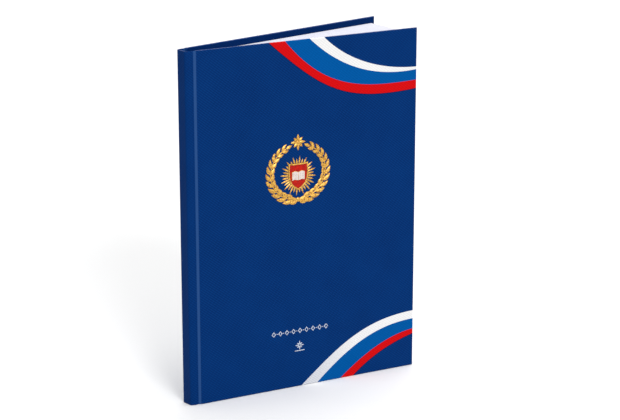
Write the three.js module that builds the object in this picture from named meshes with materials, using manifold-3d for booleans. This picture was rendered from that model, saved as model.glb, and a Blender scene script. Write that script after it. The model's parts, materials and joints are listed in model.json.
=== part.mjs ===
// A case-bound record book of twelve sewn sections, standing on its tail edge with the front cover a little open.
// Millimetres. While it is drawn, the book is closed: x runs from the spine's outer face to the fore-edge,
// y from the middle of the block towards the back cover, and z up from the tail.
import * as THREE from 'three';
import { mergeVertices } from 'three/addons/utils/BufferGeometryUtils.js';
import Module from 'manifold-3d';

const wasm = await Module();
wasm.setup();

// Case
const coverHeight = 290;
const coverWidth = 205;
const boardThickness = 1.8;
const coveringThickness = 0.25;
const turnInWidth = 14;
const glueLine = 0.05;

// Spine
const spineWidth = 9.8;
const spineBoardThickness = 1.0;
const spineBoardInset = 0.6;
const hollowGap = 0.15;
const liningThickness = 0.18;
const liningInset = 6;
const mullThickness = 0.2;
const mullInset = 20;
const mullFlapWidth = 24;
const threadThickness = 0.2;
const sewingStations = 6;
const foldClearance = 0.07;

// Joints between the spine and the covers
const jointWidth = 8.6;
const shoulderInset = 4.2;
const shoulderDrop = 1.02;
const grooveInset = 6.4;
const grooveDepth = 1.22;
const creaseClearance = 0.3;
const cornerClearance = 0.15;

// Leaves
const sectionCount = 12;
const leavesPerSection = 8;
const leafThickness = 0.07;
const sectionPitch = 0.7;
const headSquare = 5.2;
const foreEdgeSquare = 3.5;
const flyleafThickness = 0.08;
const pastedownThickness = 0.12;
const endpaperFoldInset = 7.2;
const endpaperFoldGap = 0.2;
const leafClearance = 0.06;

// Headbands
const headbandThickness = 1.5;
const headbandDepth = 1.6;
const headbandTabLength = 12;
const headbandClearance = 0.2;

// Rest pose
const openAngle = THREE.MathUtils.degToRad(13);

const FRONT = -1;
const BACK = 1;
const foldSteps = 8;
const overcut = 1;

// Distances from the middle of the block, through the back or front half of the closed book
const blockHalf = sectionCount * sectionPitch / 2;
const flyleafInner = blockHalf + leafClearance;
const flyleafOuter = flyleafInner + flyleafThickness;
const pastedownInner = flyleafOuter + leafClearance;
const pastedownOuter = pastedownInner + pastedownThickness;
const turnInInner = pastedownOuter + glueLine;
const turnInOuter = turnInInner + coveringThickness;
const boardInner = turnInOuter + glueLine;
const boardOuter = boardInner + boardThickness;
const coveringInner = boardOuter + glueLine;
const coveringOuter = coveringInner + coveringThickness;

// Distances from the spine's outer face, through the spine
const spineBoardX = coveringThickness + glueLine;
const spineTurnInX = spineBoardX + spineBoardThickness + glueLine;
const liningX = spineTurnInX + coveringThickness + hollowGap;
const mullX = liningX + liningThickness + glueLine;
const threadX = mullX + mullThickness + glueLine;
const foldX = threadX + threadThickness + foldClearance;
const sectionThickness = leavesPerSection * leafThickness;
const foldRadius = sectionThickness / 2;
const foldAxisX = foldX + foldRadius;
const spineBoardHalf = spineWidth / 2 - spineBoardInset;

// Inside of the covering, where the boards lie
const boardTail = coveringThickness + glueLine;
const boardHead = coverHeight - boardTail;
const boardForeEdge = coverWidth - boardTail;
const blockTail = headSquare;
const blockHead = coverHeight - headSquare;
const blockForeEdge = coverWidth - foreEdgeSquare;

// Hinge lines, as x and distance from the middle of the block
const spineCorner = { x: boardTail, h: spineWidth / 2 + cornerClearance };
const crease = { x: grooveInset, h: coveringOuter - grooveDepth };

const finishes = {
  covering: { color: 0x0d326f, roughness: 0.55, metalness: 0 },
  board: { color: 0x9a8f7c, roughness: 0.9, metalness: 0 },
  paper: { color: 0xeeeef6, roughness: 0.85, metalness: 0 },
  endpaper: { color: 0xf2f0ea, roughness: 0.85, metalness: 0 },
  cloth: { color: 0xe8e4d8, roughness: 0.95, metalness: 0 },
  kraft: { color: 0xa9825a, roughness: 0.9, metalness: 0 },
  thread: { color: 0xf4f1e8, roughness: 0.8, metalness: 0 },
  band: { color: 0x1c4f9c, roughness: 0.7, metalness: 0 },
};

const book = new THREE.Group();

// A named piece in its own material, put into a group
function addPiece(group, name, geometry, finish) {
  const mesh = new THREE.Mesh(geometry, new THREE.MeshStandardMaterial(finishes[finish]));
  mesh.name = name;
  group.add(mesh);
  return mesh;
}

// A group whose pieces are drawn in the closed book's frame and turned about an upright line in its parent
function hingeGroup(parent, x, y, angle) {
  const turned = new THREE.Group();
  turned.position.set(x, y, 0);
  turned.rotation.z = angle;
  const inner = new THREE.Group();
  inner.position.set(-x, -y, 0);
  turned.add(inner);
  parent.add(turned);
  return inner;
}

// An upright prism over an outline of [x, y] points
function prism(points, low, high) {
  const shape = new THREE.Shape(points.map(([x, y]) => new THREE.Vector2(x, y)));
  const geometry = new THREE.ExtrudeGeometry(shape, { depth: high - low, bevelEnabled: false });
  geometry.translate(0, 0, low);
  return geometry;
}

// An upright block between two corners
function block(x0, x1, y0, y1, z0, z1) {
  const geometry = new THREE.BoxGeometry(x1 - x0, Math.abs(y1 - y0), z1 - z0);
  geometry.translate((x0 + x1) / 2, (y0 + y1) / 2, (z0 + z1) / 2);
  return geometry;
}

// The same outline on the front or the back half, from [x, distance from the middle] points
function onSide(side, points) {
  return points.map(([x, h]) => [x, side * h]);
}

function toSolid(geometry) {
  const bare = geometry.clone();
  bare.deleteAttribute('normal');
  bare.deleteAttribute('uv');
  const merged = mergeVertices(bare, 1e-5);
  return new wasm.Manifold(new wasm.Mesh({
    numProp: 3,
    vertProperties: new Float32Array(merged.attributes.position.array),
    triVerts: new Uint32Array(merged.index.array),
  }));
}

function toGeometry(solid) {
  const mesh = solid.getMesh();
  const geometry = new THREE.BufferGeometry();
  geometry.setAttribute('position', new THREE.BufferAttribute(mesh.vertProperties, 3));
  geometry.setIndex(new THREE.BufferAttribute(mesh.triVerts, 1));
  geometry.computeVertexNormals();
  return geometry;
}

function cut(geometry, ...cutters) {
  return toGeometry(cutters.reduce((solid, cutter) => solid.subtract(toSolid(cutter)), toSolid(geometry)));
}

// A board's covering: the outer face, the dip into the groove, and the edges turned in over the board
function coverSkin(side) {
  const start = crease.x + creaseClearance;
  const startH = crease.h - coveringThickness;
  const lip = coveringThickness / 2;
  const outline = [
    [start, crease.h],
    [jointWidth - creaseClearance, coveringOuter],
    [coverWidth, coveringOuter],
    [coverWidth, turnInInner],
    [jointWidth, turnInInner],
    [start + lip, startH],
  ];
  const boardSpace = [
    [start + lip, startH],
    [jointWidth - creaseClearance + lip, coveringInner],
    [coverWidth - coveringThickness, coveringInner],
    [coverWidth - coveringThickness, turnInOuter],
    [start + lip, turnInOuter],
  ];
  const edge = coverWidth - turnInWidth;
  const windowHalves = [side * (turnInInner - overcut), side * (turnInOuter + glueLine / 2)];
  return cut(
    prism(onSide(side, outline), 0, coverHeight),
    prism(onSide(side, boardSpace), coveringThickness, coverHeight - coveringThickness),
    block(start, edge, ...windowHalves, turnInWidth, coverHeight - turnInWidth),
  );
}

// The strip of covering from the spine's corner over the shoulder to the groove, its ends turned in
function jointStrip(side) {
  const line = [
    [spineCorner.x, spineCorner.h],
    [shoulderInset, coveringOuter - shoulderDrop],
    [crease.x - creaseClearance, crease.h - coveringThickness / 2],
  ];
  const under = (depth, reach = 0) => line.map(([x, h], i) => [x + reach * (i - 1), h - depth]);
  const layer = (from, to, reach) => onSide(side, [...under(from, reach), ...under(to, reach).reverse()]);
  const folded = 2 * coveringThickness + glueLine;
  return cut(
    prism(layer(0, folded), 0, coverHeight),
    prism(layer(coveringThickness, folded - coveringThickness, overcut), coveringThickness,
      coverHeight - coveringThickness),
    prism(layer(coveringThickness, folded + overcut, overcut), turnInWidth, coverHeight - turnInWidth),
  );
}

// The covering over the spine board, turned in at head and tail
function spineSkin() {
  const half = spineWidth / 2;
  const inner = spineTurnInX + coveringThickness;
  const outline = [
    [0, -half],
    [0, half],
    [coveringThickness, half],
    [coveringThickness, spineBoardHalf],
    [inner, spineBoardHalf],
    [inner, -spineBoardHalf],
    [coveringThickness, -spineBoardHalf],
    [coveringThickness, -half],
  ];
  const side = spineBoardHalf + overcut;
  return cut(
    prism(outline, 0, coverHeight),
    block(coveringThickness, spineTurnInX, -side, side, coveringThickness, coverHeight - coveringThickness),
    block(coveringThickness, inner + overcut, -side, side, turnInWidth, coverHeight - turnInWidth),
  );
}

function coverBoard(side) {
  return block(jointWidth, boardForeEdge, side * boardInner, side * boardOuter, boardTail, boardHead);
}

// The pastedown is trimmed with the leaves, so the turned-in covering shows around it
function pastedown(side) {
  return block(endpaperFoldInset + endpaperFoldGap, blockForeEdge, side * pastedownInner, side * pastedownOuter,
    blockTail, blockHead);
}

function flyleaf(side) {
  return block(endpaperFoldInset, blockForeEdge, side * flyleafInner, side * flyleafOuter, blockTail, blockHead);
}

// The mull's side that is glued to the board, inside the turned-in edges
function mullFlap(side) {
  const start = jointWidth + glueLine;
  const outer = boardInner - glueLine;
  return block(start, start + mullFlapWidth, side * outer, side * (outer - mullThickness), mullInset,
    coverHeight - mullInset);
}

// A folded section: a flat stack of leaves with a round fold at the spine
function section(y) {
  const points = [[blockForeEdge, y + foldRadius]];
  for (let i = 0; i <= foldSteps; i += 1) {
    const turn = Math.PI / 2 + Math.PI * i / foldSteps;
    points.push([foldAxisX + foldRadius * Math.cos(turn), y + foldRadius * Math.sin(turn)]);
  }
  points.push([blockForeEdge, y - foldRadius]);
  return prism(points, blockTail, blockHead);
}

// The outline of a thread laid along square turns, from the points of its middle line
function ribbon(path, width) {
  const offset = (sign) => path.map(([x, y], i) => {
    const before = path[Math.max(i - 1, 0)];
    const after = path[Math.min(i + 1, path.length - 1)];
    const square = (from, to) => [Math.sign(from[1] - to[1]), Math.sign(to[0] - from[0])];
    const first = square(before, [x, y]);
    const last = square([x, y], after);
    return [x + sign * width / 2 * (first[0] + last[0]), y + sign * width / 2 * (first[1] + last[1])];
  });
  return [...offset(1), ...offset(-1).reverse()];
}

// The thread, which crosses the folds at each sewing station and runs up to the next one
function sewingThread() {
  const half = blockHalf - foldRadius;
  const low = blockTail + mullInset;
  const step = (blockHead - mullInset - low) / (sewingStations - 1);
  const path = [];
  for (let i = 0; i < sewingStations; i += 1) {
    const side = i % 2 ? half : -half;
    path.push([low + i * step, side], [low + i * step, -side]);
  }
  const geometry = prism(ribbon(path, threadThickness), 0, threadThickness);
  geometry.rotateY(-Math.PI / 2);
  geometry.translate(threadX + threadThickness, 0, 0);
  return geometry;
}

// A headband: a bead over the folds and a tab glued to the back of the block
function headband(edge, up) {
  const bead = edge + up * headbandClearance;
  const top = bead + up * headbandThickness;
  const tab = edge - up * headbandTabLength;
  const inner = threadX + threadThickness;
  const outline = [
    [threadX, tab],
    [inner, tab],
    [inner, bead],
    [threadX + headbandDepth * 0.8, bead],
    [threadX + headbandDepth, (bead + top) / 2],
    [threadX + headbandDepth * 0.8, top],
    [threadX + headbandDepth * 0.2, top],
    [threadX, (bead + top) / 2],
  ];
  const geometry = prism(outline, -blockHalf, blockHalf);
  geometry.rotateX(Math.PI / 2);
  return geometry;
}

function addSpine() {
  addPiece(book, 'spine_skin', spineSkin(), 'covering');
  addPiece(book, 'spine_board', block(spineBoardX, spineBoardX + spineBoardThickness, -spineBoardHalf,
    spineBoardHalf, boardTail, boardHead), 'board');
  addPiece(book, 'back_joint_strip', jointStrip(BACK), 'covering');
  addPiece(book, 'spine_lining', block(liningX, liningX + liningThickness, -blockHalf, blockHalf,
    blockTail + liningInset, blockHead - liningInset), 'kraft');
  addPiece(book, 'mull', block(mullX, mullX + mullThickness, -blockHalf, blockHalf, mullInset,
    coverHeight - mullInset), 'cloth');
  addPiece(book, 'sewing_thread', sewingThread(), 'thread');
  addPiece(book, 'headband_head', headband(blockHead, 1), 'band');
  addPiece(book, 'headband_tail', headband(blockTail, -1), 'band');
}

function addCover(group, side, name) {
  addPiece(group, `${name}_skin`, coverSkin(side), 'covering');
  addPiece(group, `${name}_board`, coverBoard(side), 'board');
  addPiece(group, `${name}_pastedown`, pastedown(side), 'endpaper');
  addPiece(group, `mull_${name}_flap`, mullFlap(side), 'cloth');
  addPiece(group, `${name}_flyleaf`, flyleaf(side), 'endpaper');
}

// The sections fan evenly between the back cover and the front one
function addSections() {
  for (let i = 0; i < sectionCount; i += 1) {
    const y = -blockHalf + (i + 0.5) * sectionPitch;
    const share = (sectionCount - i) / sectionCount;
    const group = hingeGroup(book, foldAxisX, y, -openAngle * share);
    addPiece(group, `section_${String(i + 1).padStart(2, '0')}`, section(y), 'paper');
  }
}

addSpine();
addCover(book, BACK, 'back');
addSections();
const frontJoint = hingeGroup(book, spineCorner.x, -spineCorner.h, -openAngle);
addPiece(frontJoint, 'front_joint_strip', jointStrip(FRONT), 'covering');
addCover(frontJoint, FRONT, 'front');

// The origin is on the floor at the middle of the standing book
book.updateMatrixWorld(true);
const middle = new THREE.Box3().setFromObject(book).getCenter(new THREE.Vector3());
book.position.set(-middle.x, -middle.y, 0);

export default book;
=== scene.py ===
import json
import math
import random

import bmesh
import bpy
import numpy as np
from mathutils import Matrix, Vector
from mathutils.geometry import delaunay_2d_cdt


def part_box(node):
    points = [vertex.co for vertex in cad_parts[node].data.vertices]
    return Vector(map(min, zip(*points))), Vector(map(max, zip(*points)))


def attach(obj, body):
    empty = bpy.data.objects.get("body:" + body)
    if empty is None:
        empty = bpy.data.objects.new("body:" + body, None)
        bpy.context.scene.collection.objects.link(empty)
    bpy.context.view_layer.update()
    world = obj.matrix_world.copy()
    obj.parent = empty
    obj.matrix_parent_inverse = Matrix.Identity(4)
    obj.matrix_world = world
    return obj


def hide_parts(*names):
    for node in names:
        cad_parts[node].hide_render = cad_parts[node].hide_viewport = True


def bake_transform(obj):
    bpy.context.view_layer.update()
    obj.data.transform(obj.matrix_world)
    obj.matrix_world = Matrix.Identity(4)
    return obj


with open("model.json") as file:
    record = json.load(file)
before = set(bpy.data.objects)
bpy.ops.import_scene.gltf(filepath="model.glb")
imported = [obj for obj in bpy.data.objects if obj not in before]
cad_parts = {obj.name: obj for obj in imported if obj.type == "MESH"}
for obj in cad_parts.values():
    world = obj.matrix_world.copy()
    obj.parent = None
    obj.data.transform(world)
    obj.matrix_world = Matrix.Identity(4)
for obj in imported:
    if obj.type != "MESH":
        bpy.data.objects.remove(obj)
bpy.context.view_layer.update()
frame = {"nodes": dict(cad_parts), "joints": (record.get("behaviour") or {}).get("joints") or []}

MM = 0.001
joints = {j["name"]: j for j in frame["joints"]}

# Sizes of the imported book, in metres. The closed book's frame has x from the spine's face to the fore-edge,
# y from the middle of the block towards the back cover, and z up from the tail.
spine_low, spine_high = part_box("spine_skin")
back_low, back_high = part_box("back_skin")
block_low, block_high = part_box("section_12")
board_low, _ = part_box("back_board")
leaf_low, leaf_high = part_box("back_flyleaf")
paste_low, paste_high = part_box("back_pastedown")
SPINE_X = spine_low.x
MIDDLE_Y = (spine_low.y + spine_high.y) / 2
HEIGHT = spine_high.z
WIDTH = back_high.x - SPINE_X
SPINE_DEPTH = spine_high.x - SPINE_X
OUTER = back_high.y - MIDDLE_Y
TURN_IN = back_low.y - MIDDLE_Y
BOARD_X = board_low.x - SPINE_X
BLOCK_END = leaf_high.x - SPINE_X
FLYLEAF_X = leaf_low.x - SPINE_X
FLYLEAF_Y = (leaf_low.y + leaf_high.y) / 2 - MIDDLE_Y
PASTEDOWN_Y = (paste_low.y + paste_high.y) / 2 - MIDDLE_Y
PASTEDOWN_END = paste_high.x - SPINE_X
PASTEDOWN_THICKNESS = paste_high.y - paste_low.y
FOLD_X = joints["section_01_turn"]["pos_m"][0] - SPINE_X
OPENING = -math.radians(joints["book_opening"]["range_deg"][0])
SECTIONS = sum(1 for name in frame["nodes"] if name.startswith("section_"))

# The covers: side, the body that carries the joint, and the word that starts their names
COVERS = [(-1, "front_joint", "front"), (1, "spine", "back")]

# Leaves in a section, and sizes that only the finish needs, in metres
LEAVES = 8
LEAF_PITCH = 0.0875 * MM
LEAF_THICKNESS = 0.07 * MM
LEAF_BEND = 3.0 * MM
FLYLEAF_THICKNESS = 0.1 * MM
FLYLEAF_BEND = 6.0 * MM
FOLDED_COVERING = 0.5 * MM
SEAM_X = 2.6 * MM
EDGE_RADIUS = 0.45 * MM
COVERING_EDGE_RADIUS = 0.18 * MM

# Places nearer to each other than this count as the same, in metres
NEAR = 1e-6

# Colours as sRGB bytes, most of them with a second, darker tone for their hollows. In the twill and between
# threads this darker tone is painted shade; in the other finishes it follows a random mottle.
FIELD_BLUE = ((5, 55, 119), (3, 37, 91))
# The boards' inner faces: the field blue darkened as painted shade
SHADED_TURN_IN_BLUE = ((1, 38, 92), (1, 30, 78))
RIBBON_RED = ((218, 14, 18), (190, 14, 18))
RIBBON_BLUE = ((0, 88, 162), (0, 78, 148))
RIBBON_WHITE = ((244, 243, 242), (228, 227, 228))
RIBBON_SHADOW = ((3, 20, 56), (2, 14, 44))
GREYED_WHITE = ((244, 243, 242), (226, 226, 230))
RIBBON_GREY = (186, 192, 206)
# A painted highlight along the groove's slope, mottled by the grain
GROOVE_HIGHLIGHT = (46, 84, 140)
PAPER = (229, 229, 240)
# The paper's cut edges, a darker copy of the paper: painted shade against the light on the head
SHADED_PAPER_CUT = (210, 209, 225)
ENDPAPER = (234, 232, 228)
RULE_BLUE = (168, 186, 214)
MARGIN_RED = (214, 120, 128)
GOLD = ((238, 190, 84), (166, 104, 26))
SILVER = ((214, 222, 234), (150, 158, 172))
BRONZE = ((84, 52, 22), (48, 30, 14))
SHIELD_RED = ((206, 30, 10), (150, 18, 18))
BOOK_WHITE = ((240, 232, 226), (206, 190, 186))
BOARD_GREY = ((156, 146, 128), (118, 108, 92))
CLOTH_WHITE = ((232, 228, 216), (170, 164, 148))
KRAFT_BROWN = ((176, 138, 98), (140, 104, 70))
BAND_WHITE = ((238, 236, 228), (196, 192, 180))
BAND_BLUE = ((20, 64, 132), (10, 40, 92))
THREAD_WHITE = ((244, 240, 230), (206, 198, 182))

# The twill pressed into the covering: millimetres, and degrees from the tail edge
TWILL_PITCH = 1.7
TWILL_ANGLE = -52
CROSS_PITCH = 1.7 * TWILL_PITCH

# Where a highlight is painted along the groove's slope, in millimetres from the spine
HIGHLIGHT_FROM = 7.1
HIGHLIGHT_TO = 8.3
HIGHLIGHT_FADE_IN = 0.7
HIGHLIGHT_FADE_OUT = 0.5

# Where the lower white band fades from grey to white, in millimetres from the spine
GREY_TO = 100
WHITE_FROM = 150

# The ruling of a page, in millimetres from its fold and from the tail. A line's half is a share of the pitch.
RULE_PITCH = 8.0
RULE_HALF = 0.022
RULED_FROM = 14.0
RULED_TO = 262.0
RULED_ACROSS = 190.0
MARGIN_AT = 172.0
MARGIN_HALF = 0.2


def place(x, y, z):
    """A point of the closed book in the part's frame."""
    return Vector((SPINE_X + x, MIDDLE_Y + y, z))


def turned(point, pivot, angle):
    """A point turned about an upright line."""
    dx, dy = point.x - pivot[0], point.y - pivot[1]
    c, s = math.cos(angle), math.sin(angle)
    return Vector((pivot[0] + dx * c - dy * s, pivot[1] + dx * s + dy * c, point.z))


def opened(point, share=1.0):
    """A point of the closed front half at its place in the standing, slightly open book."""
    return turned(point, joints["book_opening"]["pos_m"], -OPENING * share)


def smoothstep(value, low, high):
    t = min(1.0, max(0.0, (value - low) / (high - low)))
    return t * t * (3 - 2 * t)


def evenly(count, first=0.0):
    """Directions spread evenly round a full turn, in radians."""
    return [2 * math.pi * (i + first) / count for i in range(count)]


def spline(points, steps):
    """A smooth line through a few points."""
    def between(p, q, r, s, t):
        square = (2 * p - 5 * q + 4 * r - s) * t ** 2
        cube = (3 * q - p - 3 * r + s) * t ** 3
        return 0.5 * (2 * q + (r - p) * t + square + cube)

    padded = [points[0], *points, points[-1]]
    found = [tuple(between(*values, i / steps) for values in zip(*corners))
             for corners in zip(padded, padded[1:], padded[2:], padded[3:]) for i in range(steps)]
    return found + [points[-1]]


def line_normals(line):
    """The direction square to a line of (x, y) at each of its points."""
    found = []
    for i in range(len(line)):
        before, after = line[max(i - 1, 0)], line[min(i + 1, len(line) - 1)]
        dx, dy = after[0] - before[0], after[1] - before[1]
        length = math.hypot(dx, dy)
        found.append((-dy / length, dx / length))
    return found


class Shape:
    """Points and faces gathered for one mesh."""

    def __init__(self):
        self.points, self.uvs, self.shares = [], [], []
        self.faces, self.indices, self.smooth = [], [], []

    def add(self, point, uv, share=0.0):
        """Adds a point with its flat coordinates and its share of a turn, and gives its number."""
        self.points.append(tuple(point))
        self.uvs.append(uv)
        self.shares.append(share)
        return len(self.points) - 1

    def face(self, corners, index=0, smooth=False):
        """Adds a face between numbered points, with the number of its material."""
        self.faces.append(corners)
        self.indices.append(index)
        self.smooth.append(smooth)

    def wall(self, first, second, index=0, smooth=False):
        """Adds the faces between two closed rings."""
        for i in range(len(first)):
            j = (i + 1) % len(first)
            self.face([first[i], first[j], second[j], second[i]], index, smooth)

    def sheet(self, columns, cut=0, smooth=False):
        """Adds the faces of a thin closed sheet. Each column holds one side's points and then the other's."""
        rows = len(columns[0]) // 2
        for here, there in zip(columns, columns[1:]):
            for j in range(rows - 1):
                for k in (j, j + rows):
                    self.face([here[k], here[k + 1], there[k + 1], there[k]], 0, smooth)
            for k in (0, rows - 1):
                self.face([here[k], there[k], there[k + rows], here[k + rows]], cut)
        for end in (columns[0], columns[-1]):
            for j in range(rows - 1):
                self.face([end[j], end[j + 1], end[j + rows + 1], end[j + rows]], cut)

    def make(self, name, materials):
        """Makes the object, with its faces turned outwards."""
        mesh = bpy.data.meshes.new(name)
        mesh.from_pydata(self.points, [], self.faces)
        obj = bpy.data.objects.new(name, mesh)
        bpy.context.scene.collection.objects.link(obj)
        for material in materials:
            mesh.materials.append(material)
        for face, index, smooth in zip(mesh.polygons, self.indices, self.smooth):
            face.material_index = index
            face.use_smooth = smooth
        layer = mesh.uv_layers.new(name="flat")
        for loop in mesh.loops:
            layer.data[loop.index].uv = self.uvs[loop.vertex_index]
        mesh.validate()
        work = bmesh.new()
        work.from_mesh(mesh)
        bmesh.ops.recalc_face_normals(work, faces=work.faces)
        work.to_mesh(mesh)
        work.free()
        return obj

    def weigh(self, obj):
        """Does nothing: the shares kept with the points are not given to the object."""


# Materials

def linear(colour):
    """A colour given as sRGB bytes, for a shader socket."""
    shares = [value / 255 for value in colour]
    return (*(s / 12.92 if s <= 0.04045 else ((s + 0.055) / 1.055) ** 2.4 for s in shares), 1.0)


class Graph:
    """Short calls for the nodes of a material or of the world."""

    def __init__(self, owner, last):
        owner.use_nodes = True
        self.owner, self.tree = owner, owner.node_tree
        self.last = self.tree.nodes[last]

    def feed(self, socket, value):
        """Links another node's output to a socket, or gives the socket a plain value."""
        if isinstance(value, bpy.types.NodeSocket):
            self.tree.links.new(value, socket)
        else:
            socket.default_value = value

    def node(self, kind, inputs, **settings):
        """The outputs of a new node, whose inputs are given by name or number."""
        made = self.tree.nodes.new("ShaderNode" + kind)
        for name, value in settings.items():
            setattr(made, name, value)
        for name, value in inputs.items():
            self.feed(made.inputs[name], value)
        return made.outputs

    def set(self, name, value):
        self.feed(self.last.inputs[name], value)

    def millimetres(self, source):
        return self.node("Mapping", {"Vector": source, "Scale": (1000, 1000, 1000)})["Vector"]

    def flat(self):
        """The piece's flat coordinates, in millimetres."""
        return self.millimetres(self.node("UVMap", {}, uv_map="flat")["UV"])

    def place(self):
        """The place in the part's frame, in millimetres."""
        return self.millimetres(self.node("TexCoord", {})["Object"])

    def turned(self, vector, degrees):
        return self.node("Mapping", {"Vector": vector, "Rotation": (0, 0, math.radians(degrees))})["Vector"]

    def axis(self, vector, name):
        return self.node("SeparateXYZ", {"Vector": vector})[name]

    def math(self, operation, a, b=0.0, c=0.0):
        return self.node("Math", {0: a, 1: b, 2: c}, operation=operation)[0]

    def noise(self, vector, scale, detail=3.0, roughness=0.55):
        inputs = {"Vector": vector, "Scale": scale, "Detail": detail, "Roughness": roughness}
        return self.node("TexNoise", inputs)["Fac"]

    def ripple(self, coordinate, period):
        """A sine from 0 to 1 along a coordinate."""
        turn = self.math("MULTIPLY", coordinate, 2 * math.pi / period)
        return self.math("MULTIPLY_ADD", self.math("SINE", turn), 0.5, 0.5)

    def mix(self, factor, first, second):
        return self.node("Mix", {0: factor, 6: first, 7: second}, data_type="RGBA")[2]

    def tone(self, factor, tones):
        """A colour between its dark tone at 0 and its main tone at 1."""
        return self.mix(factor, linear(tones[1]), linear(tones[0]))

    def span(self, value, low, high, to_low=0.0, to_high=1.0):
        """A value's place between low and high, as a number from to_low to to_high."""
        return self.node("MapRange", {0: value, 1: low, 2: high, 3: to_low, 4: to_high})[0]

    def within(self, value, middle, half):
        """1 where a value lies within half of the middle, and 0 elsewhere."""
        return self.math("LESS_THAN", self.math("ABSOLUTE", self.math("SUBTRACT", value, middle)), half)

    def bump(self, height, strength, distance):
        """Raises the surface by a height from 0 to 1, where distance is in metres."""
        inputs = {"Strength": strength, "Distance": distance, "Height": height}
        self.set("Normal", self.node("Bump", inputs)["Normal"])

    def seen_directly(self):
        """1 where the camera, a reflection or glass sees the stage, and 0 where it only lights the book."""
        path = self.node("LightPath", {})
        seen = self.math("MAXIMUM", path["Is Camera Ray"], path["Is Glossy Ray"])
        return self.math("MAXIMUM", seen, path["Is Transmission Ray"])


def surface(name):
    """The graph of a new material."""
    return Graph(bpy.data.materials.new(name), "Principled BSDF")


def covering_material(name, tones, roughness=0.46, greyed=False, highlighted=False):
    """Imitation leather with a fine twill pressed into it, under a thin satin coat. The twill's valleys are
    darkened as painted shade, and the covers' blue gets a painted highlight along the groove.
    """
    g = surface(name)
    flat = g.flat()
    across = g.axis(flat, "X")
    ribs = g.ripple(g.axis(g.turned(flat, TWILL_ANGLE), "X"), TWILL_PITCH)
    cross = g.ripple(g.axis(g.turned(flat, TWILL_ANGLE + 90), "X"), CROSS_PITCH)
    weave = g.math("MULTIPLY", ribs, g.math("MULTIPLY_ADD", cross, 0.45, 0.55))
    grain = g.noise(flat, scale=1.6, detail=4.0)
    cloud = g.noise(flat, scale=0.03, detail=2.0)
    height = g.math("MULTIPLY_ADD", cloud, 0.5, g.math("MULTIPLY", weave, 0.9))
    main, dark = linear(tones[0]), linear(tones[1])
    if greyed:
        main = g.mix(g.span(across, GREY_TO, WHITE_FROM), linear(RIBBON_GREY), main)
    # The twill's valleys take the darker tone: painted shade, with a random cloud over it
    colour = g.mix(height, dark, main)
    # A pale band along the groove's slope, mottled by the grain: a painted highlight
    if highlighted:
        rises = g.span(across, HIGHLIGHT_FROM - HIGHLIGHT_FADE_IN, HIGHLIGHT_FROM)
        falls = g.span(across, HIGHLIGHT_TO, HIGHLIGHT_TO + HIGHLIGHT_FADE_OUT, 1.0, 0.0)
        highlight_share = g.math("MULTIPLY", g.math("MULTIPLY", rises, falls), g.span(grain, 0.3, 0.7, 0.75, 1.0))
        colour = g.mix(highlight_share, colour, linear(GROOVE_HIGHLIGHT))
    g.set("Base Color", colour)
    g.set("Roughness", g.span(grain, 0.3, 0.7, roughness - 0.06, roughness + 0.08))
    g.set("Specular IOR Level", 0.025)
    g.bump(g.math("MULTIPLY_ADD", grain, 0.3, weave), strength=0.25, distance=0.00012)
    return g.owner


def ruling(g, flat, colour):
    """Adds ruled lines and a margin line to a page's colour."""
    across, height = g.axis(flat, "X"), g.axis(flat, "Y")
    step = g.math("FRACT", g.math("DIVIDE", height, RULE_PITCH))
    above = g.math("GREATER_THAN", height, RULED_FROM)
    framed = g.math("MULTIPLY", above, g.math("LESS_THAN", height, RULED_TO))
    inside = g.math("MULTIPLY", framed, g.math("LESS_THAN", across, RULED_ACROSS))
    lines = g.math("MULTIPLY", g.within(step, 0.5, RULE_HALF), inside)
    margin = g.math("MULTIPLY", g.within(across, MARGIN_AT, MARGIN_HALF), framed)
    return g.mix(margin, g.mix(lines, colour, linear(RULE_BLUE)), linear(MARGIN_RED))


def paper_material(name, colour, ruled=False):
    """Uncoated paper with a soft fibre mottle, and ruled lines where it is a page."""
    g = surface(name)
    flat = g.flat()
    fibre = g.noise(flat, scale=0.9, detail=5.0, roughness=0.65)
    cloud = g.noise(flat, scale=0.05, detail=2.0)
    height = g.math("MULTIPLY_ADD", cloud, 0.2, g.math("MULTIPLY", fibre, 0.8))
    dim = tuple(int(c * 0.965) for c in colour)
    mottled = g.tone(g.span(height, 0.35, 0.65), (colour, dim))
    g.set("Base Color", ruling(g, flat, mottled) if ruled else mottled)
    g.set("Roughness", g.span(fibre, 0.3, 0.7, 0.78, 0.92))
    g.set("Specular IOR Level", 0.2)
    g.bump(fibre, strength=0.2, distance=0.00003)
    return g.owner


def fibre_material(name, tones, scale, roughness, bump, stripes=None):
    """A mottled finish in the part's frame, with threads where stripes gives their pitch in millimetres, and
    painted shade between the threads.
    """
    g = surface(name)
    here = g.place()
    grain = g.noise(here, scale, detail=5.0, roughness=0.65)
    height = g.span(grain, 0.3, 0.7)
    if stripes:
        up = g.ripple(g.axis(here, "Z"), stripes)
        across = g.ripple(g.axis(here, "X"), stripes)
        # Between the threads the colour darkens: painted shade
        height = g.math("MULTIPLY", height, g.math("MAXIMUM", up, across))
    g.set("Base Color", g.tone(height, tones))
    g.set("Roughness", g.span(grain, 0.3, 0.7, roughness - 0.05, roughness + 0.08))
    g.bump(height, bump, distance=0.0001)
    return g.owner


def foil_material(name, tones, roughness):
    """Hot-stamped foil: a soft metal with fine wear and darker hollows."""
    g = surface(name)
    flat = g.flat()
    wear = g.noise(flat, scale=0.8, detail=5.0)
    g.set("Base Color", g.tone(g.span(wear, 0.38, 0.6), tones))
    g.set("Metallic", 0.4)
    g.set("Roughness", g.span(wear, 0.3, 0.7, roughness, roughness + 0.12))
    g.bump(g.noise(flat, scale=3.0, detail=4.0), strength=0.15, distance=0.00004)
    return g.owner


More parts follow.
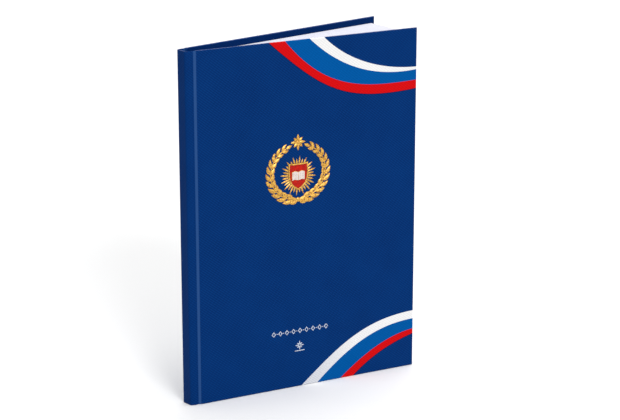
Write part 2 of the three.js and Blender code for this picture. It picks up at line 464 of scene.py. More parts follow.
def enamel_material(name, tones):
    """A printed colour under a smooth gloss."""
    g = surface(name)
    flat = g.flat()
    cloud = g.noise(flat, scale=0.4)
    g.set("Base Color", g.tone(g.span(cloud, 0.3, 0.7), tones))
    g.set("Roughness", g.span(cloud, 0.3, 0.7, 0.3, 0.42))
    g.set("Specular IOR Level", 0.15)
    g.bump(g.noise(flat, scale=2.0), strength=0.12, distance=0.00004)
    return g.owner


COVERING = covering_material("covering_blue", FIELD_BLUE)
# The darker blue of the boards' inner faces is painted shade
SHADED_TURN_IN_COVERING = covering_material("turn_in_blue_shaded", SHADED_TURN_IN_BLUE)
# The covers' blue, with a painted highlight along the groove
HIGHLIGHTED_COVER_FIELD = covering_material("cover_blue_highlighted", FIELD_BLUE, highlighted=True)
PRINT = {
    "red": covering_material("print_red", RIBBON_RED, 0.42),
    "blue": covering_material("print_blue", RIBBON_BLUE, 0.42),
    "white": covering_material("print_white", RIBBON_WHITE, 0.42),
    "shadow": covering_material("print_shadow", RIBBON_SHADOW, 0.5),
    "grey_white": covering_material("print_grey_white", GREYED_WHITE, 0.42, greyed=True),
}
PAGE = paper_material("page_paper", PAPER, ruled=True)
# The page edges take a darker copy of the paper as painted shade
SHADED_PAGE_EDGE = paper_material("page_edge_shaded", SHADED_PAPER_CUT)
ENDLEAF = paper_material("endpaper", ENDPAPER)
GOLD_FOIL = foil_material("gold_foil", GOLD, 0.3)
SILVER_FOIL = foil_material("silver_foil", SILVER, 0.3)
BRONZE_FOIL = foil_material("bronze_foil", BRONZE, 0.45)
SHIELD = enamel_material("shield_red", SHIELD_RED)
SHIELD_WHITE = enamel_material("shield_white", BOOK_WHITE)
GREYBOARD = fibre_material("greyboard", BOARD_GREY, 1.2, 0.86, 0.4)
MULL = fibre_material("mull_cloth", CLOTH_WHITE, 1.5, 0.9, 0.6, stripes=1.2)
KRAFT = fibre_material("kraft_paper", KRAFT_BROWN, 0.8, 0.85, 0.3)
WOUND_WHITE = fibre_material("headband_white", BAND_WHITE, 2.5, 0.7, 0.5, stripes=0.35)
WOUND_BLUE = fibre_material("headband_blue", BAND_BLUE, 2.5, 0.7, 0.5, stripes=0.35)
THREAD = fibre_material("linen_thread", THREAD_WHITE, 3.0, 0.75, 0.5, stripes=0.4)

# Finishes for the CAD pieces that stay as they are
NODE_FINISHES = [
    (GREYBOARD, ["spine_board", "front_board", "back_board"]),
    (MULL, ["mull", "mull_front_flap", "mull_back_flap"]),
    (KRAFT, ["spine_lining"]),
    (THREAD, ["sewing_thread"]),
]


def dress_nodes():
    for material, names in NODE_FINISHES:
        for name in names:
            mesh = frame["nodes"][name].data
            mesh.materials.clear()
            mesh.materials.append(material)


# Covering of the spine

# The covering's outer line from the middle of the spine to the flat of the board, in millimetres:
# x and the distance from the middle
SPINE_LINE = [(0, 0), (0, 2.4), (0, 3.9), (0.1, 4.55), (0.5, 5.05), (1.3, 5.5), (2.6, 5.95)]
JOINT_LINE = [(2.6, 5.95), (4.1, 6.22), (5.1, 6.08), (6.3, 5.66),
              (7.4, 6.0), (8.5, 6.75), (9.4, 6.97), (10.2, 6.97)]

# Distances from the middle where the spine's flat ends, and where its corner's bend starts and ends
FLAT_ENDS = SPINE_LINE[1][1] * MM
BEND_STARTS = SPINE_LINE[2][1] * MM
CORNER = SPINE_LINE[3][1] * MM
BEND_ENDS = SPINE_LINE[5][1] * MM


def rounded_section(depth, radius, rows=10, steps=3):
    """The closed outline of a folded strip seen from its end: (depth below the outer face, height)."""
    radius = min(radius, depth * 0.49)
    low, high, deep = radius, HEIGHT - radius, depth - radius
    turns = [math.pi / 2 * i / steps for i in range(steps + 1)]
    arc = [(radius * math.cos(a), radius * math.sin(a)) for a in turns]
    outline = [(0.0, low + (high - low) * i / rows) for i in range(rows + 1)]
    outline += [(radius - c, high + s) for c, s in arc[1:]]
    outline += [(deep + s, high + c) for c, s in arc]
    outline += [(deep + c, low - s) for c, s in arc]
    outline += [(radius - s, low - c) for c, s in arc[:-1]]
    return outline


def build_spine_covering():
    """The covering over the spine board and the inner halves of both joints, turned in at head and tail."""
    half = [(x * MM, h * MM) for x, h in spline(SPINE_LINE, 5)]
    line = half[::-1] + [(x, -h) for x, h in half[1:]]
    run = SEAM_X - sum(math.dist(a, b) for a, b in zip(line, line[1:]))
    shape, rings = Shape(), []
    for i, ((x, y), (nx, ny)) in enumerate(zip(line, line_normals(line))):
        run += math.dist(line[i - 1], line[i]) if i else 0
        on_flat = 1 - smoothstep(abs(y), FLAT_ENDS, CORNER)
        depth = FOLDED_COVERING + (SPINE_DEPTH - FOLDED_COVERING) * on_flat
        share = smoothstep(-y, BEND_STARTS, BEND_ENDS)
        rings.append([shape.add(opened(place(x + nx * below, y + ny * below, z), share), (run, z), share)
                      for below, z in rounded_section(depth, COVERING_EDGE_RADIUS)])
    for first, second in zip(rings, rings[1:]):
        shape.wall(first, second, smooth=True)
    shape.face(rings[0])
    shape.face(rings[-1])
    obj = shape.make("spine_covering", [COVERING])
    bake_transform(obj)
    shape.weigh(obj)
    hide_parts("spine_skin", "front_joint_strip", "back_joint_strip")


# Covering of the boards, with the printed ribbons on the front

# Edges of the two ribbons: control points in millimetres from the spine and from the tail
TOP_EDGES = [
    [(71.2, 290.2), (118.3, 248.2), (139.6, 234.6), (205.0, 240.2)],
    [(85.3, 290.0), (120.4, 248.2), (153.1, 244.9), (205.0, 247.1)],
    [(107.3, 290.0), (135.0, 263.8), (166.9, 252.7), (205.0, 255.8)],
    [(120.1, 290.0), (142.5, 268.1), (174.2, 258.3), (205.0, 258.0)],
]
TOP_INKS = ["red", "blue", "white"]
TAIL_EDGES = [
    [(99.2, 0.0), (134.1, 28.4), (156.6, 47.6), (205.0, 48.6)],
    [(113.8, 0.0), (141.5, 24.6), (166.2, 41.1), (205.0, 41.5)],
    [(135.7, 0.0), (155.6, 16.2), (178.7, 30.2), (205.0, 32.5)],
    [(147.4, 0.0), (164.0, 14.5), (183.7, 23.3), (205.0, 28.4)],
]
TAIL_INKS = ["grey_white", "blue", "red"]
SHADOW_WIDTH = 0.5
CURVE_OVERRUN = 6

# The flat part of a cover's outer face, the start of its inner face, and how far its joint bends to each
# side of the hinge, in metres
FACE_LOW = EDGE_RADIUS
FACE_HIGH = HEIGHT - EDGE_RADIUS
FACE_RIGHT = WIDTH - EDGE_RADIUS
FLAT_START = JOINT_LINE[-2][0] * MM
INSIDE_START = BOARD_X - 0.1 * MM

JOINT_SAMPLES = spline(JOINT_LINE, 4)
OUTER_SAMPLES = [(x * MM, h * MM) for x, h in JOINT_SAMPLES]


def bezier(control, steps=26):
    """Points of a cubic curve in the cover's millimetres, run a little past both its ends."""
    p0, p1, p2, p3 = (Vector(p) for p in control)
    found = [p0 + (p0 - p1).normalized() * CURVE_OVERRUN]
    for i in range(steps + 1):
        t = i / steps
        found.append(p0 * (1 - t) ** 3 + p1 * 3 * t * (1 - t) ** 2 + p2 * 3 * t * t * (1 - t) + p3 * t ** 3)
    found.append(p3 + (p3 - p2).normalized() * CURVE_OVERRUN)
    return found


def beside(points, width):
    """A line moved sideways by a width, and reversed."""
    moved = [p + Vector(across) * width for p, across in zip(points, line_normals(points))]
    return moved[::-1]


def ribbon_regions():
    """Closed outlines of the printed bands, each with its ink, and a thin shadow along each red band."""
    regions = []
    for edges, inks, red_edge in ((TOP_EDGES, TOP_INKS, 0), (TAIL_EDGES, TAIL_INKS, 3)):
        lines = [bezier(e) for e in edges]
        regions.append(("shadow", lines[red_edge] + beside(lines[red_edge], -SHADOW_WIDTH)))
        for first, second, ink in zip(lines, lines[1:], inks):
            regions.append((ink, first + second[::-1]))
    return regions


def turns_left(corners):
    """True for an outline that runs anticlockwise."""
    pairs = zip(corners, [*corners[1:], corners[0]])
    return sum(a[0] * b[1] - b[0] * a[1] for a, b in pairs) > 0


def cover_triangles(regions):
    """The outer face as flat triangles: points in metres, triangles and an ink for each triangle."""
    left, right, low, high = (value / MM for value in (SEAM_X, FACE_RIGHT, FACE_LOW, FACE_HIGH))
    outlines = [[(left, low), (right, low), (right, high), (left, high)]] + [line for _, line in regions]
    points, edges, faces = [], [], []
    for corners in outlines:
        ring = list(range(len(points), len(points) + len(corners)))
        faces.append(ring if turns_left(corners) else ring[::-1])
        points += [Vector(c) for c in corners]
    for x in sorted({round(x, 3) for x, _ in JOINT_SAMPLES})[1:]:
        edges.append((len(points), len(points) + 1))
        points += [Vector((x, low)), Vector((x, high))]
    found, _, triangles, _, _, origins = delaunay_2d_cdt(points, edges, faces, 0, 1e-4)
    kept, inks = [], []
    for triangle, origin in zip(triangles, origins):
        if 0 in origin:
            named = [regions[o - 1][0] for o in origin if o > 0]
            kept.append(triangle)
            inks.append(named[-1] if named else "field")
    used = sorted({i for t in kept for i in t})
    renumber = {old: new for new, old in enumerate(used)}
    return [found[i] * MM for i in used], [[renumber[i] for i in t] for t in kept], inks


def outer_line(x):
    """The outer face's distance from the middle of the book at x."""
    for (x0, h0), (x1, h1) in zip(OUTER_SAMPLES, OUTER_SAMPLES[1:]):
        if x < x1:
            return h0 + (h1 - h0) * (x - x0) / (x1 - x0)
    return OUTER


def inner_line(x):
    """The inner face's distance from the middle of the book at x."""
    return TURN_IN if x > INSIDE_START else outer_line(x) - FOLDED_COVERING


class CoverSheet(Shape):
    """A board's covering and its joint as one closed sheet, with rounded edges and an inner face."""

    def __init__(self, side, regions):
        super().__init__()
        self.side = side
        self.flat, self.triangles, self.inks = cover_triangles(regions)
        self.used = ["field", "inside"] + sorted(set(self.inks) - {"field"})
        self.rims = {}
        for p in self.flat:
            self.put(p.x, p.y, 0.0)
        for triangle, ink in zip(self.triangles, self.inks):
            in_joint = max(self.flat[i].x for i in triangle) < FLAT_START + NEAR
            self.face(triangle, self.used.index(ink), in_joint)
        self.round_edges()
        self.close_inside()

    def put(self, x, z, depth):
        """Adds a point at a depth below the outer face."""
        point = place(x, self.side * (outer_line(min(x, FACE_RIGHT)) - depth), z)
        beyond = depth if x > FACE_RIGHT + NEAR else 0
        return self.add(opened(point) if self.side < 0 else point, (x + beyond, z))

    def rim(self, i):
        """The points that run from an edge point of the outer face round to the inner face."""
        if i not in self.rims:
            p = self.flat[i]
            out_x = 1 if p.x > FACE_RIGHT - NEAR else 0
            out_z = 1 if p.y > FACE_HIGH - NEAR else -1 if p.y < FACE_LOW + NEAR else 0
            depth = outer_line(p.x) - inner_line(p.x)
            soft = min(EDGE_RADIUS, depth * 0.45)
            turns = [math.pi / 2 * k / 3 for k in range(4)]
            rows = [(EDGE_RADIUS * math.sin(a), soft * (1 - math.cos(a))) for a in turns[1:]]
            rows += [(EDGE_RADIUS * math.cos(a), depth - soft + soft * math.sin(a)) for a in turns]
            rounded = [self.put(p.x + out_x * out, p.y + out_z * out, below) for out, below in rows]
            self.rims[i] = [i, *rounded]
        return self.rims[i]

    def open_edges(self):
        """Edges round the outer face, apart from the seam, each with the ink beside it."""
        inks_beside = {}
        for triangle, ink in zip(self.triangles, self.inks):
            for a, b in zip(triangle, triangle[1:] + triangle[:1]):
                inks_beside.setdefault(frozenset((a, b)), []).append(ink)
        return [(*edge, inks[0]) for edge, inks in inks_beside.items()
                if len(inks) == 1 and max(self.flat[i].x for i in edge) > SEAM_X + NEAR]

    def round_edges(self):
        for a, b, ink in self.open_edges():
            first, second = self.rim(a), self.rim(b)
            for k in range(len(first) - 1):
                corners = [first[k], second[k], second[k + 1], first[k + 1]]
                self.face(corners, self.used.index(ink), True)

    def close_inside(self):
        """Adds the inner faces of the joint and of the board, and the end at the seam."""
        flat, rims = self.flat, self.rims
        by_x = sorted(rims, key=lambda i: flat[i].x)
        by_height = sorted(rims, key=lambda i: flat[i].y)
        tail = [i for i in by_x if flat[i].y < FACE_LOW + NEAR]
        head = [i for i in by_x if flat[i].y > FACE_HIGH - NEAR]
        fore = [i for i in by_height if flat[i].x > FACE_RIGHT - NEAR and i not in tail + head]
        joint_tail = [i for i in tail if flat[i].x <= FLAT_START + NEAR]
        joint_head = [i for i in head if flat[i].x <= FLAT_START + NEAR]
        for a, b, c, d in zip(joint_tail, joint_tail[1:], joint_head, joint_head[1:]):
            corners = [rims[a][-1], rims[b][-1], rims[d][-1], rims[c][-1]]
            self.face(corners, 0, flat[b].x < INSIDE_START)
        inner = [i for i in tail + fore + head[::-1] if flat[i].x >= FLAT_START - NEAR]
        # The inner face takes the darker blue, painted shade
        self.face([rims[i][-1] for i in inner], 1)
        self.face([*rims[tail[0]], *reversed(rims[head[0]])])


def build_cover(side, carrier, word):
    """A cover's covering with its joint. The front one is printed with the ribbons."""
    cover = CoverSheet(side, ribbon_regions() if side < 0 else [])
    materials = [HIGHLIGHTED_COVER_FIELD, SHADED_TURN_IN_COVERING] + [PRINT[ink] for ink in cover.used[2:]]
    obj = cover.make(word + "_covering", materials)
    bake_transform(obj)
    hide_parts(word + "_skin")


# Leaves and endpapers

# Distances from the fold at which a sheet has points, in millimetres: close together where it bends
LEAF_STOPS = [0, 0.6, 1.5, 3, 5, 8, 12, 18, 30, 50, 80, 110, 140, 170, 188]
FOLD_STEPS = 6
EDGE_STRIP = 0.4 * MM

# How far past a board's edge its pastedown comes to lie flat
PASTEDOWN_LAP = 0.3 * MM

# How unevenly the leaves fan out, as shares of the space between two leaves, and how they curl
dice = random.Random(12)
fan_jitter = [dice.uniform(-0.25, 0.25) for _ in range(SECTIONS * LEAVES)]
CURL = 0.006
CURL_LENGTH = 60 * MM
CURL_STEP = 0.37


def fan_ramp(distance, bend):
    """How much of its turn a leaf has taken at a distance from its fold."""
    if distance <= 0:
        return 0.0
    return 1 - bend * (1 - math.exp(-distance / bend)) / distance


def leaf_share(order):
    """The share of the whole opening that a leaf takes, from the front leaf back."""
    total = SECTIONS * LEAVES
    return (total - order - 0.5) / total + fan_jitter[order] / total


def sheet_line(radius):
    """A folded sheet's line in the closed section: (x from the fold's axis, y, half: 0 front and 1 rear)."""
    stops = [s * MM for s in LEAF_STOPS] + [BLOCK_END - FOLD_X]
    line = [(s, -radius, 0) for s in reversed(stops)]
    for i in range(1, FOLD_STEPS):
        a = -math.pi / 2 - math.pi * i / FOLD_STEPS
        line.append((radius * math.cos(a), radius * math.sin(a), 0 if i < FOLD_STEPS / 2 else 1))
    line += [(s, radius, 1) for s in stops]
    return line


def folded_sheet(shape, number, nest, heights):
    """Adds the points of one of a section's nested sheets, and gives them in columns."""
    pivot = joints[f"section_{number:02d}_turn"]["pos_m"]
    section_share = (SECTIONS - number + 1) / SECTIONS
    line = sheet_line((LEAVES - 1 - 2 * nest) / 2 * LEAF_PITCH)
    columns = []
    for (x, y, rear), (nx, ny) in zip(line, line_normals([(x, y) for x, y, _ in line])):
        order = (number - 1) * LEAVES + (LEAVES - 1 - nest if rear else nest)
        curl = 1 + CURL * math.sin(order * CURL_STEP) * math.sin(max(x, 0) / CURL_LENGTH)
        share = min(1.0, leaf_share(order) * fan_ramp(x, LEAF_BEND) * curl / section_share)
        column = []
        for out in (-LEAF_THICKNESS / 2, LEAF_THICKNESS / 2):
            for z in heights:
                flat = Vector((pivot[0] + x + nx * out, pivot[1] + y + ny * out, z))
                point = turned(flat, pivot, -OPENING * section_share * share)
                column.append(shape.add(point, (x, z), share))
        columns.append(column)
    return columns


def build_section(number):
    """A sewn section: four nested folded sheets, whose eight leaves fan out one by one."""
    name = f"section_{number:02d}"
    low, high = block_low.z, block_high.z
    heights = [low, low + EDGE_STRIP] + [low + (high - low) * i / 5 for i in range(1, 5)]
    heights += [high - EDGE_STRIP, high]
    shape = Shape()
    for nest in range(LEAVES // 2):
        shape.sheet(folded_sheet(shape, number, nest, heights), cut=1, smooth=True)
    obj = shape.make(name + "_leaves", [PAGE, SHADED_PAGE_EDGE])
    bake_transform(obj)
    shape.weigh(obj)
    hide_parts(name)


def build_endpaper(node, side, stops, middle, thickness, shares):
    """A sheet beside the block. Stops are distances from its fold; shares, how far each would turn, are only
    kept with the points.
    """
    heights = [block_low.z + (block_high.z - block_low.z) * i / 6 for i in range(7)]
    shape, columns = Shape(), []
    for stop, share in zip(stops, shares):
        column = []
        for out in (-thickness / 2, thickness / 2):
            for z in heights:
                point = place(FLYLEAF_X + stop, side * middle + out, z)
                column.append(shape.add(opened(point) if side < 0 else point, (stop, z), share))
        columns.append(column)
    shape.sheet(columns)
    obj = shape.make(node + "_sheet", [ENDLEAF])
    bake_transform(obj)
    shape.weigh(obj)
    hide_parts(node)


def build_flyleaf(side, carrier, word):
    """The free half of an endpaper, a flat sheet from its fold to the block's end."""
    node = word + "_flyleaf"
    length = BLOCK_END - FLYLEAF_X
    stops = [s * MM for s in LEAF_STOPS if s * MM < length] + [length]
    shares = [fan_ramp(s, FLYLEAF_BEND) for s in stops]
    build_endpaper(node, side, stops, FLYLEAF_Y, FLYLEAF_THICKNESS, shares)


def build_pastedown(side, carrier, word):
    """The glued half of an endpaper: from the fold it crosses the joint and then lies on the board."""
    on_board = BOARD_X - FLYLEAF_X + PASTEDOWN_LAP
    glued = PASTEDOWN_END - FLYLEAF_X - on_board
    stops = [on_board * i / 6 for i in range(7)] + [on_board + glued * i / 4 for i in range(1, 5)]
    shares = [smoothstep(s, 0, on_board) for s in stops]
    build_endpaper(word + "_pastedown", side, stops,
                   PASTEDOWN_Y, PASTEDOWN_THICKNESS, shares)


# Relief ornaments on the front cover. Their lengths are in millimetres.

EMBLEM = (96.5, 182.6)
SHIELD_AT = (96.5, 179.8)
LOZENGES_AT = (98.0, 48.3)
ROSETTE_AT = (97.6, 35.6)
OUTLINE = 0.3
RAY_OUTLINE = 0.12
THIN_OUTLINE = 0.05
FOIL_EDGE = 0.1
SUNK = 0.02


class Relief(Shape):
    """Raised foil shapes on the front cover, gathered into one mesh."""

    def __init__(self, centre, border=OUTLINE):
        super().__init__()
        self.centre, self.border = centre, border

    def put(self, u, v, height):
        """Adds a point at a height over the cover, at a place from the centre."""
        x, z = (self.centre[0] + u) * MM, (self.centre[1] + v) * MM
        return self.add(opened(place(x, -OUTER - height * MM, z)), (x, z))

    def ridge(self, path, widths, rises):
        """A raised band along a path: half widths and ridge heights at each of its points."""
        rows = []
        for (u, v), (x, y), width, rise in zip(path, line_normals(path), widths, rises):
            steps = ((width + self.border, -SUNK), (width, FOIL_EDGE), (0, rise),
                     (-width, FOIL_EDGE), (-width - self.border, -SUNK))
            rows.append([self.put(u + x * w, v + y * w, h) for w, h in steps])
        for first, second in zip(rows, rows[1:]):
            for k, index in enumerate((1, 0, 0, 1, 1)):
                j = (k + 1) % 5
                self.face([first[k], first[j], second[j], second[k]], index)
        self.face(rows[0][::-1], 1)
        self.face(rows[-1], 1)

    def leaf(self, base, angle, length, width, rise, bend=0.0, steps=6):
        """A pointed leaf with a raised midrib."""
        path, widths, rises = [], [], []
        for i in range(steps + 1):
            t = i / steps
            turn = angle + bend * (t - 0.5)
            path.append((base[0] + math.cos(turn) * length * t, base[1] + math.sin(turn) * length * t))
            widths.append(max(0.04, width / 2 * math.sin(math.pi * t ** 0.85)))
            rises.append(FOIL_EDGE + rise * math.sin(math.pi * min(1.0, t * 0.92 + 0.05)))
        self.ridge(path, widths, rises)

    def dome(self, centre, radius, rise, sides=12):
        """A round berry."""
        steps = ((radius + self.border, -SUNK), (radius, FOIL_EDGE), (radius * 0.72, FOIL_EDGE + rise * 0.7))
        foot, edge, shoulder = ([self.put(centre[0] + r * math.cos(a), centre[1] + r * math.sin(a), h)
                                 for a in evenly(sides)] for r, h in steps)
        top = self.put(*centre, FOIL_EDGE + rise)
        self.wall(foot, edge, 1)
        self.wall(edge, shoulder, 0, True)
        for i in range(sides):
            self.face([shoulder[i], shoulder[(i + 1) % sides], top], 0, True)
        self.face(foot[::-1], 1)

    def plate(self, outline, rings, cap):
        """A stepped plate: rings of (inset, height, material index), and the material index of its top."""
        rows = [[self.put(u, v, h) for u, v in inset(outline, d)] for d, h, _ in rings]
        for lower, upper, (_, _, index) in zip(rows, rows[1:], rings[1:]):
            self.wall(lower, upper, index)
        self.face(rows[-1], cap)
        self.face(rows[0][::-1], 1)

    def build(self, name, materials):
        obj = self.make(name, materials)
        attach(obj, "front_cover")


def inset(outline, distance):
    """A closed anticlockwise outline moved inwards by a distance."""
    moved = []
    for i, p in enumerate(outline):
        a = (Vector(p) - Vector(outline[i - 1])).normalized()
        b = (Vector(outline[(i + 1) % len(outline)]) - Vector(p)).normalized()
        side = Vector((-a.y - b.y, a.x + b.x)).normalized()
        reach = distance / max(0.35, side.dot(Vector((-a.y, a.x))))
        moved.append((p[0] + side.x * reach, p[1] + side.y * reach))
    return moved


# The laurel wreath: half width and half height of its stems' ellipse, and how far up each side they run
WREATH = (24.6, 22.6)
WREATH_FROM = math.radians(-82)
WREATH_TO = math.radians(64)
WREATH_PAIRS = 11
STEM_STEPS = 24
STEM_HALF = 0.45
STEM_RISE = 0.4

# Lengths and leans of the leaves outside and inside the stems, and what all of them share
OUTER_LEAF = (9.4, 34)
INNER_LEAF = (7.6, 38)
LEAF_WIDTH = 3.5
LEAF_RISE = 0.55
LEAF_CURVE = 0.35
LEAF_SHRINK = 0.28

# Length, width and rise of the leaf at a branch's tip, and the berries: how far out, radius and rise
TIP_LEAF = (6.0, 2.6, 0.5)
BERRY_OUT = 1.13
BERRY = (0.8, 0.5)

# The bow's leaves: distance from the middle, degrees from straight down, length, width, rise and bend
BOW_LEAVES = [(0.8, 58, 8.5, 3.0, 0.5, 0.9), (0.6, 100, 7.5, 3.2, 0.6, 0.5)]


def stem(t, side):
    """A place on a branch's stem, where t runs from 0 at the bow to 1 at the tip."""
    a = WREATH_FROM + (WREATH_TO - WREATH_FROM) * t
    return (side * WREATH[0] * math.cos(a), WREATH[1] * math.sin(a))


def direction(start, end):
    return math.atan2(end[1] - start[1], end[0] - start[0])


def laurel_branch(relief, side):
    """A stem with pairs of leaves that get smaller towards its tip, and berries outside it."""
    path = [stem(i / STEM_STEPS, side) for i in range(STEM_STEPS + 1)]
    relief.ridge(path, [STEM_HALF] * len(path), [STEM_RISE] * len(path))
    for i in range(WREATH_PAIRS):
        t = (i + 0.3) / WREATH_PAIRS
        here = stem(t, side)
        along = direction(here, stem(t + 0.01, side))
        size = 1 - LEAF_SHRINK * t
        for way in (-1, 1):
            length, lean = OUTER_LEAF if way == -side else INNER_LEAF
            turn = along + math.radians(lean) * way
            relief.leaf(here, turn, length * size, LEAF_WIDTH * size, LEAF_RISE, -LEAF_CURVE * way)
        if i % 2:
            relief.dome((here[0] * BERRY_OUT, here[1] * BERRY_OUT), *BERRY)
    relief.leaf(stem(1.0, side), direction(stem(0.99, side), stem(1.0, side)), *TIP_LEAF)


def bow_end(relief, side):
    """One half of the bow where the branches cross."""
    for start, lean, length, width, rise, bend in BOW_LEAVES:
        turn = math.radians(-90 + side * lean)
        relief.leaf((side * start, -WREATH[1]), turn, length, width, rise, side * bend)


def build_wreath():
    """Two laurel branches with berries, a bow where they cross and a rosette between their tips."""
    relief = Relief(EMBLEM)
    for side in (-1, 1):
        laurel_branch(relief, side)
        bow_end(relief, side)
    top = WREATH[1] + 2.2
    for i, turn in enumerate(evenly(8)):
        relief.leaf((math.cos(turn), top + math.sin(turn)), turn, 4.4 if i % 2 else 5.6, 2.2, 0.5)
    relief.dome((0, top), 1.5, 0.7)
    relief.dome((0, -WREATH[1]), 1.8, 0.7)
    relief.build("emblem_wreath", [GOLD_FOIL, BRONZE_FOIL])


RAYS = 32
RAY_START = 8.0
RAY_ENDS = (14.2, 16.2)
RAY_HALVES = [0.62, 0.72, 0.66, 0.05]
RAY_RISES = [0.3, 0.42, 0.36, FOIL_EDGE]


def build_rays():
    """A ring of gold rays behind the shield."""
    relief = Relief(SHIELD_AT, RAY_OUTLINE)
    for i, a in enumerate(evenly(RAYS, 0.5)):
        end = RAY_ENDS[i % 2]
        stops = (RAY_START, RAY_START + 2, (RAY_START + end) / 2 + 1, end)
        relief.ridge([(math.cos(a) * r, math.sin(a) * r) for r in stops], RAY_HALVES, RAY_RISES)
    relief.build("emblem_rays", [GOLD_FOIL, BRONZE_FOIL])


# The shield's outline is its top, its left side from above, its tip and the left side mirrored
SHIELD_TOP = (0.0, 10.2)
SHIELD_TIP = (0.0, -11.6)
SHIELD_SIDE = [(-4.5, 10.2), (-8.6, 10.6), (-8.9, 4.0), (-8.4, -2.0), (-6.6, -6.6), (-3.6, -9.6)]
SHIELD_RINGS = [(-0.35, -SUNK, 1), (0, 0.55, 1), (0.5, 0.75, 0), (1.0, 0.6, 0), (1.15, 0.48, 1)]

# The right page of the open book on the shield, anticlockwise, and the heights of its lines
BOOK_PAGE = [(0.25, -3.4), (3.1, -2.7), (5.4, -3.2), (5.4, 3.2), (3.1, 3.8), (0.25, 3.0)]
BOOK_RINGS = [(-0.4, 0.46, 0), (-0.1, 0.72, 0), (0.15, 0.8, 3)]
BOOK_LINES = (1.6, 0.0, -1.6)


def mirrored(outline):
    """An outline's mirror image, which also runs anticlockwise."""
    return [(-u, v) for u, v in reversed(outline)]


def build_shield():
    """A red shield in a gold border, with an open book on it."""
    relief = Relief(SHIELD_AT)
    relief.plate([SHIELD_TOP, *SHIELD_SIDE, SHIELD_TIP, *mirrored(SHIELD_SIDE)], SHIELD_RINGS, 2)
    for side in (-1, 1):
        relief.plate(BOOK_PAGE if side > 0 else mirrored(BOOK_PAGE), BOOK_RINGS, 3)
        for v in BOOK_LINES:
            relief.ridge([(side * 1.2, v), (side * 2.9, v + 0.35), (side * 4.5, v)], [0.16] * 3, [0.9] * 3)
    relief.build("emblem_shield", [GOLD_FOIL, BRONZE_FOIL, SHIELD, SHIELD_WHITE])


LOZENGES = 9
LOZENGE_PITCH = 6.0
LOZENGE_HALF = (1.9, 2.3)
LOZENGE_RINGS = [(-THIN_OUTLINE, -SUNK, 1), (0, FOIL_EDGE, 0), (0.62, FOIL_EDGE * 1.3, 0)]


def build_lozenge_row():
    """A row of small silver lozenges with a dot between each pair."""
    relief = Relief(LOZENGES_AT, THIN_OUTLINE)
    width, height = LOZENGE_HALF
    for i in range(LOZENGES):
        u = (i - (LOZENGES - 1) / 2) * LOZENGE_PITCH
        relief.plate([(u + width, 0), (u, height), (u - width, 0), (u, -height)], LOZENGE_RINGS, 2)
        if i:
            relief.dome((u - LOZENGE_PITCH / 2, 0), 0.42, 0.08, 8)
    relief.build("lozenge_row", [SILVER_FOIL, SILVER_FOIL, HIGHLIGHTED_COVER_FIELD])


def build_rosette():
    """A small silver rosette over a short rule."""
    relief = Relief(ROSETTE_AT, THIN_OUTLINE)
    for i, a in enumerate(evenly(8)):
        relief.leaf((0.5 * math.cos(a), 0.5 * math.sin(a)), a, 2.6 if i % 2 else 3.4, 1.1, 0.12)
    relief.ridge([(-4.4, -4.6), (0, -4.6), (4.4, -4.6)], [0.35] * 3, [0.15] * 3)
    relief.build("rosette", [SILVER_FOIL, SILVER_FOIL])


# Headbands

BEAD_RADIUS = 0.68 * MM
BEAD_BELOW_TOP = 0.75 * MM
BEAD_FROM_SPINE = 0.8 * MM
BEAD_STEPS = 60
BEAD_SIDES = 10
WRAP_PITCH = 0.35 * MM
STRIPE_WRAPS = 4
TAB_THICKNESS = 0.2 * MM


def wind_bead(shape, low, high, bead_z):
    """Adds a bead wound with thread of two colours."""
    length = high.y - low.y
    rings = []
    for i in range(BEAD_STEPS + 1):
        along = length * i / BEAD_STEPS
        radius = BEAD_RADIUS * (0.93 + 0.1 * abs(math.sin(math.pi * along / WRAP_PITCH)))
        ring = []
        for a in evenly(BEAD_SIDES):
            x = low.x + BEAD_FROM_SPINE + radius * math.cos(a)
            point = (x, low.y + along, bead_z + radius * math.sin(a))
            ring.append(shape.add(point, (low.y + along, a * BEAD_RADIUS)))
        rings.append(ring)
    for i, (first, second) in enumerate(zip(rings, rings[1:])):
        stripe = int((i + 0.5) / BEAD_STEPS * length / WRAP_PITCH / STRIPE_WRAPS) % 2
        shape.wall(first, second, stripe, True)
    shape.face(rings[0])
    shape.face(rings[-1])


def build_headband(node):
    """A bead wound with two colours of thread over the folds, on a tab glued to the back of the block."""
    low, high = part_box(node)
    at_head = low.z > HEIGHT / 2
    bead_z = high.z - BEAD_BELOW_TOP if at_head else low.z + BEAD_BELOW_TOP
    tab_z = low.z if at_head else high.z
    shape = Shape()
    wind_bead(shape, low, high, bead_z)
    corners = ((low.y, tab_z), (high.y, tab_z), (high.y, bead_z), (low.y, bead_z))
    near, far = ([shape.add((x, y, z), (y, z)) for y, z in corners] for x in (low.x, low.x + TAB_THICKNESS))
    shape.face(near)
    shape.face(far)
    shape.wall(near, far)
    obj = shape.make(node + "_woven", [WOUND_WHITE, WOUND_BLUE])
    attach(obj, "spine")
    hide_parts(node)


# Stage, light and camera

FLOOR_HALF = 9.0
FLOOR_DROP = 0.0002
FLOOR_LIT = (0.5, 0.5, 0.5, 1)
WHITE = (1, 1, 1, 1)


def build_stage():
    h = FLOOR_HALF
    mesh = bpy.data.meshes.new("floor")
    mesh.from_pydata([(-h, -h, 0), (h, -h, 0), (h, h, 0), (-h, h, 0)], [], [(0, 1, 2, 3)])
    floor = bpy.data.objects.new("floor", mesh)
    bpy.context.scene.collection.objects.link(floor)
    floor.location.z = -FLOOR_DROP
    g = surface("floor_white")
    g.set("Base Color", g.mix(g.seen_directly(), FLOOR_LIT, WHITE))
    g.set("Roughness", 0.9)
    g.set("Specular IOR Level", 0.0)
    mesh.materials.append(g.owner)


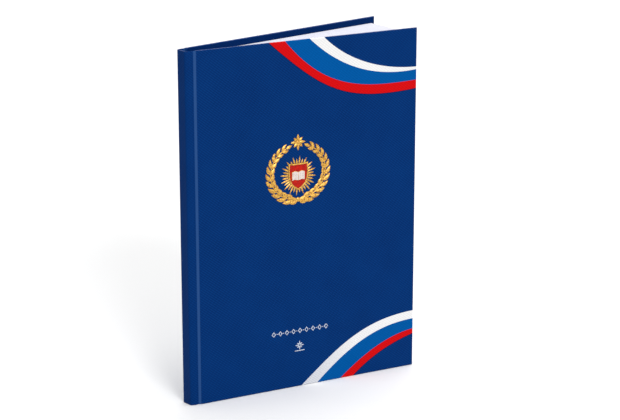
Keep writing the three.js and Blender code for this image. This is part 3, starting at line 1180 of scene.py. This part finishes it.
# Levels of the lights. Each lamp has a name, a strength, a spread in degrees and the direction it comes from.
WORLD_LEVEL = 0.48
LAMPS = [
    ("key", 1.68, 24, (-0.25, -0.85, 0.45)),
    ("top", 0.85, 40, (0.05, -0.1, 1.0)),
    ("back", 1.0, 50, (0.72, 0.62, 0.35)),
    ("right", 0.95, 50, (0.95, -0.08, 0.28)),
    ("side", 0.15, 8, (-0.68, -0.7, 0.28)),
]


def build_world():
    """A white sky where it is seen, and a dimmer one where it only gives light."""
    world = bpy.data.worlds.new("studio")
    bpy.context.scene.world = world
    g = Graph(world, "Background")
    g.set("Strength", g.span(g.seen_directly(), 0.0, 1.0, WORLD_LEVEL, 1.0))
    g.set("Color", WHITE)


def build_lamps():
    for name, energy, spread, start in LAMPS:
        lamp = bpy.data.lights.new(name, "SUN")
        lamp.energy = energy
        lamp.angle = math.radians(spread)
        obj = bpy.data.objects.new(name, lamp)
        obj.rotation_mode = "QUATERNION"
        obj.rotation_quaternion = Vector(start).to_track_quat("Z", "Y")
        bpy.context.scene.collection.objects.link(obj)


# Where the photograph was taken from, as the closed book sees it: metres, radians and pixels
CAMERA_FROM = (-0.9378, -1.2436, 0.6191)
CAMERA_YAW = 0.861
CAMERA_PITCH = -0.2856
CAMERA_FOCUS = 2066.8
IMAGE_WIDTH = 620

# Width of the camera's sensor, in millimetres
SENSOR = 36.0


def build_camera():
    data = bpy.data.cameras.new("photo_view")
    data.sensor_width = SENSOR
    data.lens = SENSOR * CAMERA_FOCUS / IMAGE_WIDTH
    camera = bpy.data.objects.new("photo_view", data)
    camera.location = place(*CAMERA_FROM)
    camera.rotation_euler = (math.pi / 2 + CAMERA_PITCH, 0, CAMERA_YAW - math.pi / 2)
    bpy.context.scene.collection.objects.link(camera)
    bpy.context.scene.camera = camera


build_camera()
build_stage()
build_world()
build_lamps()
dress_nodes()
build_spine_covering()
for cover in COVERS:
    build_cover(*cover)
for number in range(1, SECTIONS + 1):
    build_section(number)
for cover in COVERS:
    build_flyleaf(*cover)
for cover in COVERS:
    build_pastedown(*cover)
for node in ("headband_head", "headband_tail"):
    build_headband(node)
build_wreath()
build_rays()
build_shield()
build_lozenge_row()
build_rosette()

bpy.context.scene.view_settings.view_transform = "Standard"
